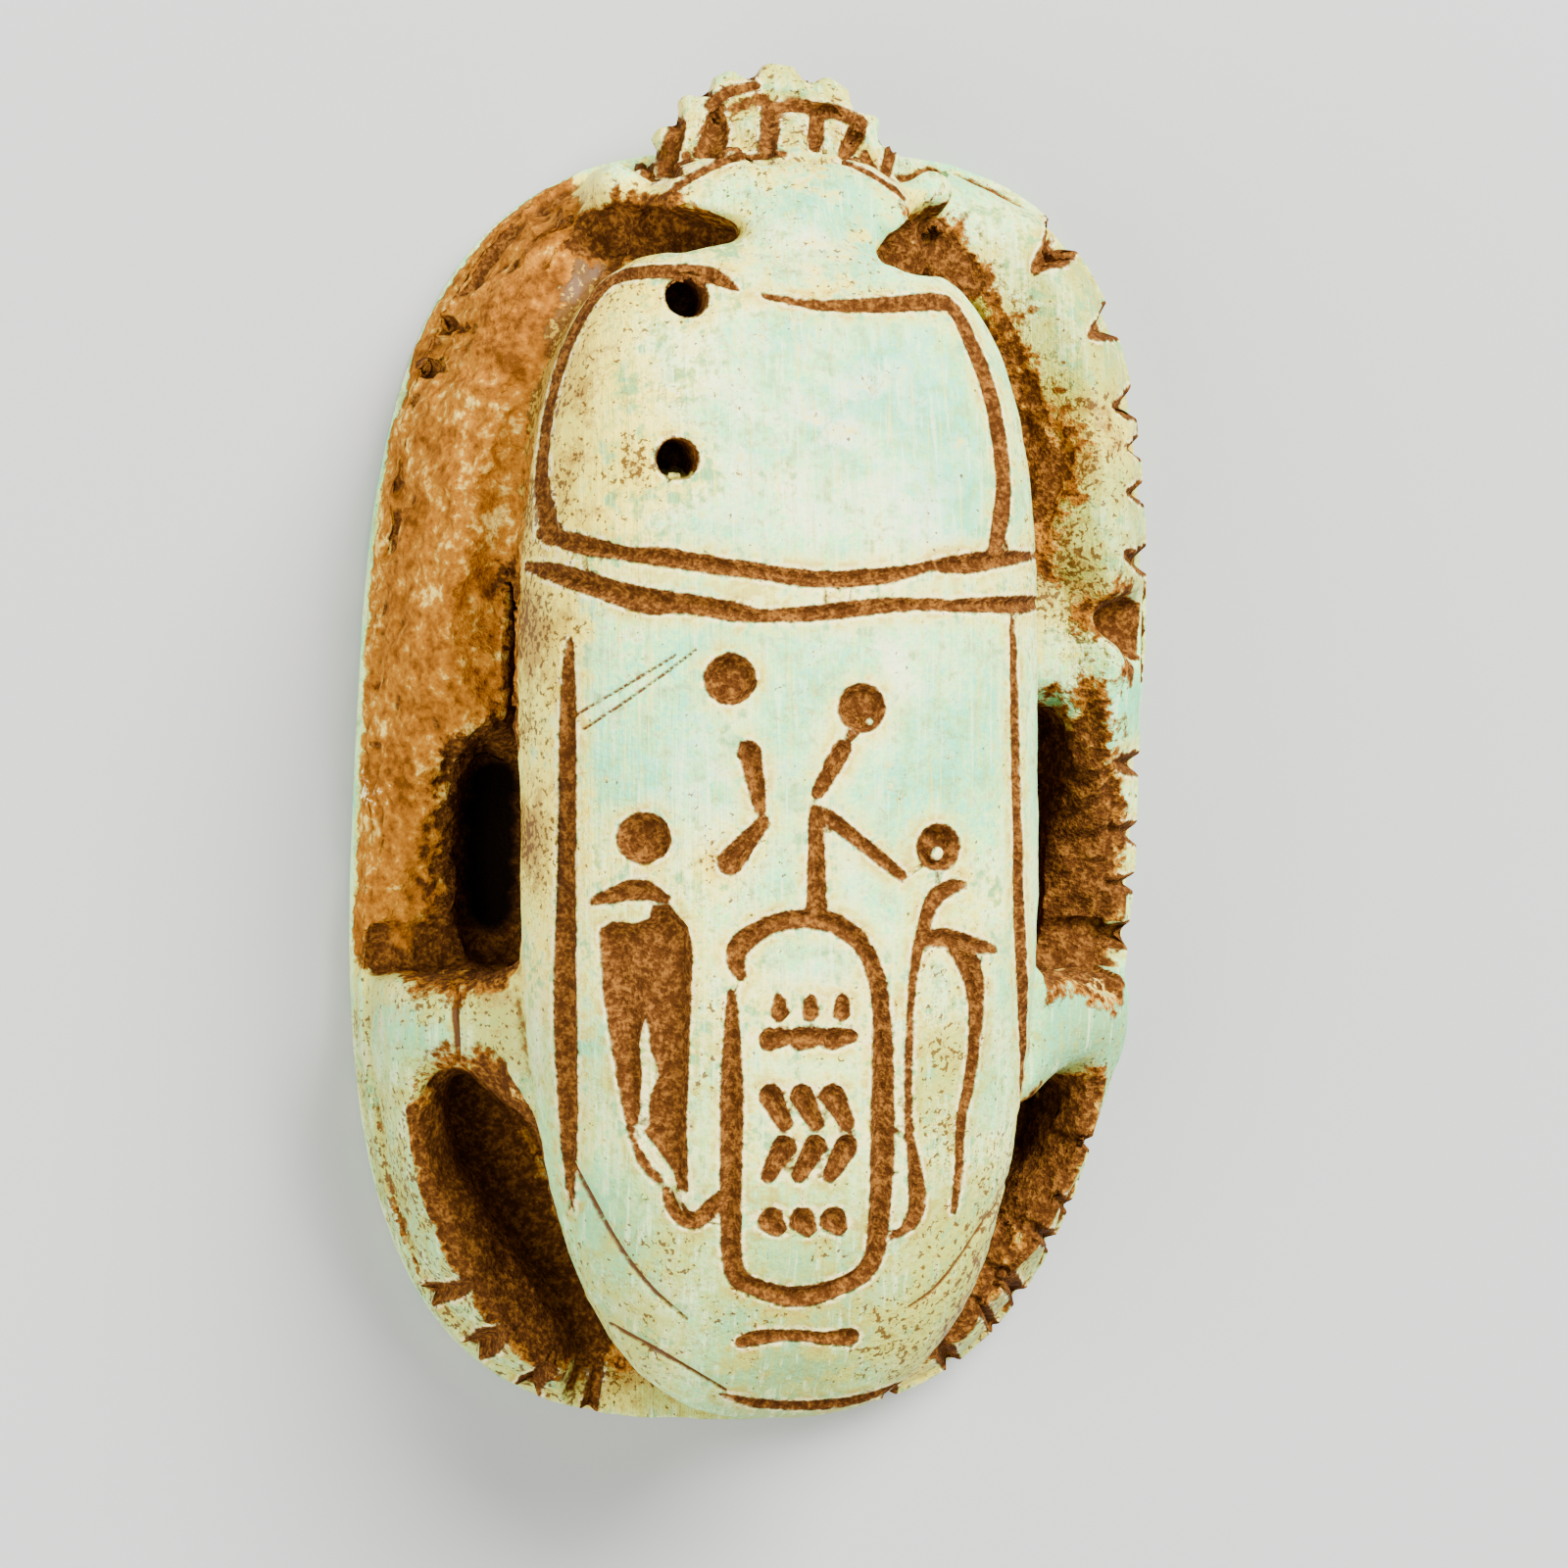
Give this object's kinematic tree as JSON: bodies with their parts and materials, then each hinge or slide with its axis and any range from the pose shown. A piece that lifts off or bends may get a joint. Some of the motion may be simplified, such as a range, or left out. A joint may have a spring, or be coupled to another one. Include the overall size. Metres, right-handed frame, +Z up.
{
  "type": "scarab amulet",
  "caption": "Stone scarab amulet carved from one piece: oval base, domed beetle body with toothed head shield, rim legs, cut figures on the back, worn pale green glaze and brown earth in the cuts.",
  "frame": {"origin": "on the flat underside, in the middle of the amulet's width", "axes": "+Z up from the underside through the beetle's back, +Y to the head, +X to the right as the back is seen from above"},
  "size_m": [0.0235, 0.0394, 0.015],
  "materials": {
    "glazed_steatite": "worn satin pale green glaze over brown soft stone, earth in the cuts"
  },
  "bodies": {
    "root": {"scarab": "glazed_steatite"}
  },
  "joints": []
}
